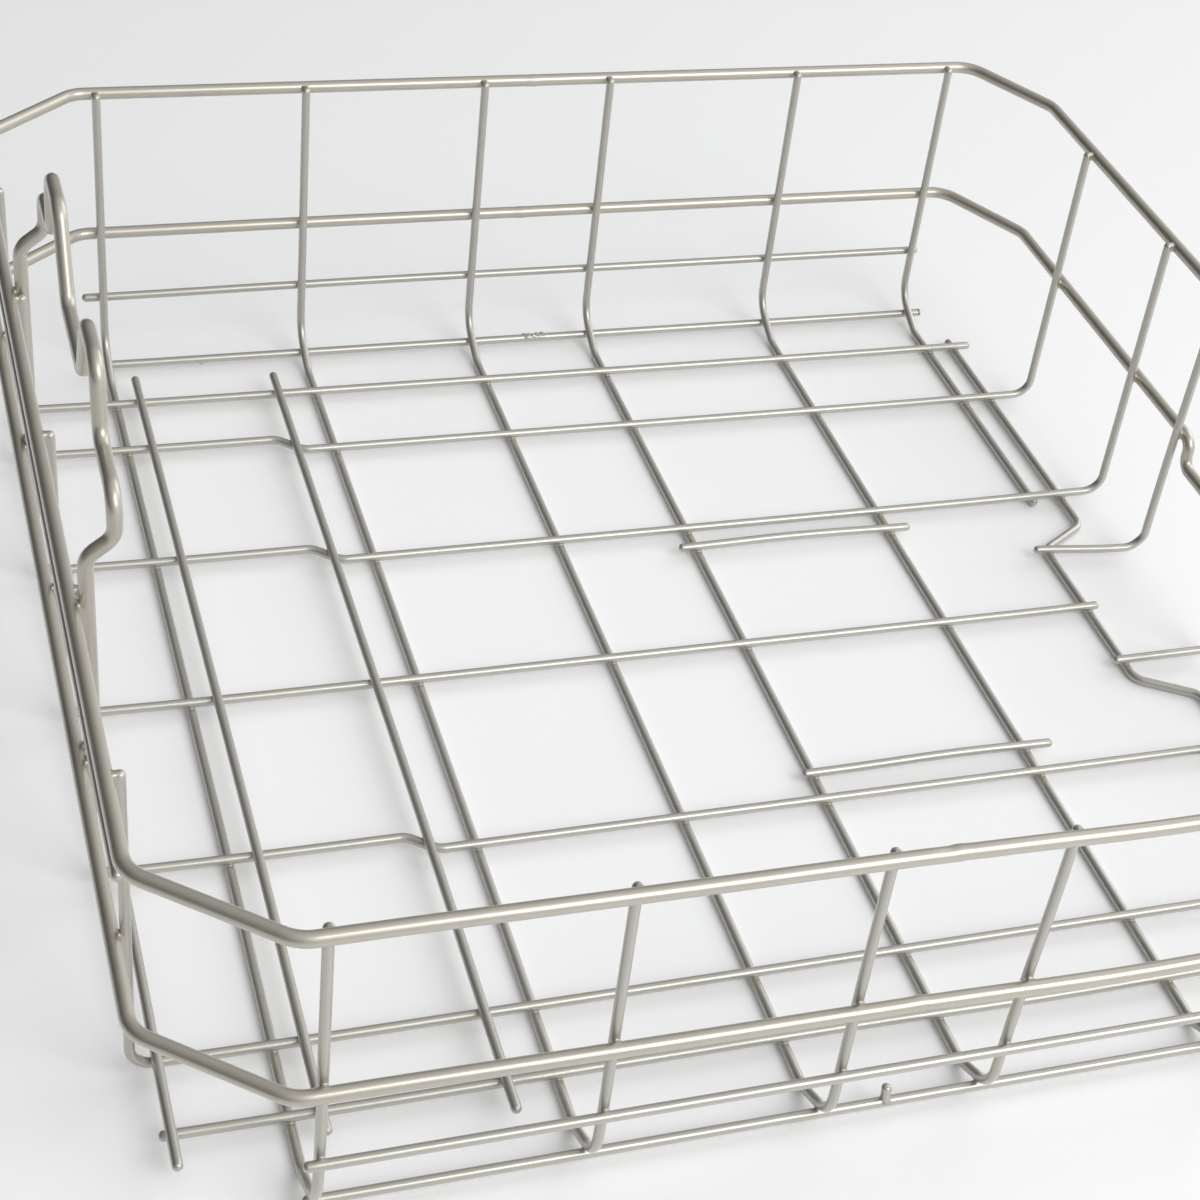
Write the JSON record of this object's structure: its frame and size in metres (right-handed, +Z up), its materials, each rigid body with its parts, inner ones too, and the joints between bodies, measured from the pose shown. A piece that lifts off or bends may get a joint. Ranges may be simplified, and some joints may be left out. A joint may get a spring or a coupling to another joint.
{
  "type": "dishwasher basket",
  "caption": "Lower dishwasher basket: a welded lattice of coated wire with cut corners, two thick rings, a floor notch and a raised hook wire on one side.",
  "frame": {"origin": "on the floor, under the middle of the rim", "axes": "+Z up, +X to the side with the notch, +Y from the front to the back"},
  "size_m": [0.506, 0.5264, 0.2094],
  "materials": {
    "frame_wire": "semi-gloss champagne grey coating",
    "basket_wire": "semi-gloss champagne grey coating"
  },
  "bodies": {
    "root": {"back_lower_rod": "basket_wire", "back_upper_rod": "basket_wire", "cross_wire_1": "basket_wire", "cross_wire_2": "basket_wire", "cross_wire_3": "basket_wire", "cross_wire_4": "basket_wire", "cross_wire_5": "basket_wire", "cross_wire_6": "basket_wire", "cross_wire_7": "basket_wire", "front_lower_rod": "basket_wire", "front_upper_rod": "basket_wire", "hook_wire": "frame_wire", "left_wall_rod": "basket_wire", "locating_peg": "basket_wire", "long_wire_1": "basket_wire", "long_wire_2": "basket_wire", "long_wire_3": "basket_wire", "long_wire_4": "basket_wire", "long_wire_5": "basket_wire", "long_wire_6_back": "basket_wire", "long_wire_6_front": "basket_wire", "middle_ring": "frame_wire", "notch_upright_back": "basket_wire", "notch_upright_front": "basket_wire", "notch_wire": "basket_wire", "rim_ring": "frame_wire", "short_bar_back": "basket_wire", "short_bar_front": "basket_wire", "top_wire_1": "basket_wire", "top_wire_2": "basket_wire", "top_wire_3": "basket_wire"}
  },
  "joints": []
}
